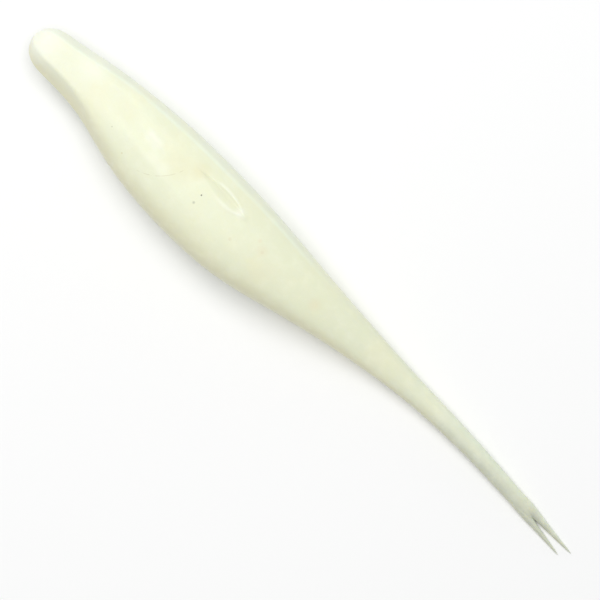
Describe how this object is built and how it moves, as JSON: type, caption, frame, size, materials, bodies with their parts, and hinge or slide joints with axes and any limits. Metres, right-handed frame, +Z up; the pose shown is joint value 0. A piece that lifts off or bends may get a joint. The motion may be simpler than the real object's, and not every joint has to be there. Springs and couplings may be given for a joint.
{
  "type": "soft plastic fishing lure",
  "caption": "Creamy white soft plastic bait: plump body with a blunt nose and a hook slot, and a slender tail that bends along its length and splits into pointed prongs.",
  "frame": {"origin": "on the surface that the bait lies on, under the middle of its outline", "axes": "+X from the nose towards the tips of the prongs, +Y to the right side, +Z up through the face with the hook slot"},
  "size_m": [0.127, 0.0162, 0.0121],
  "materials": {
    "soft_plastic": "satin"
  },
  "bodies": {
    "body": {"body": "soft_plastic"},
    "tail_root": {"tail_root": "soft_plastic"},
    "tail_middle": {"tail_middle": "soft_plastic"},
    "fork_base": {"fork_base": "soft_plastic"},
    "right_prong": {"right_prong": "soft_plastic"},
    "left_prong": {"left_prong": "soft_plastic"}
  },
  "joints": [
    {"name": "tail_root_bend", "type": "hinge", "parent": "body", "child": "tail_root", "pos_m": [0.0085, 0.00104, 0.0034], "axis": [0, 0, 1], "range_deg": [-30, 30], "stiffness_Nm_per_rad": 0.0022},
    {"name": "tail_middle_bend", "type": "hinge", "parent": "tail_root", "child": "tail_middle", "pos_m": [0.0245, 0.00148, 0.0019], "axis": [0, 0, 1], "range_deg": [-30, 30], "stiffness_Nm_per_rad": 0.00022},
    {"name": "fork_base_bend", "type": "hinge", "parent": "tail_middle", "child": "fork_base", "pos_m": [0.0395, 0.0011, 0.0014], "axis": [0, 0, 1], "range_deg": [-30, 30], "stiffness_Nm_per_rad": 0.000064},
    {"name": "right_prong_bend", "type": "hinge", "parent": "fork_base", "child": "right_prong", "pos_m": [0.0567, 0.00031, 0.0006], "axis": [0, 0, 1], "range_deg": [-5, 25], "stiffness_Nm_per_rad": 0.000003},
    {"name": "left_prong_bend", "type": "hinge", "parent": "fork_base", "child": "left_prong", "pos_m": [0.0567, -0.00119, 0.0006], "axis": [0, 0, 1], "range_deg": [-25, 5], "stiffness_Nm_per_rad": 0.000002}
  ]
}
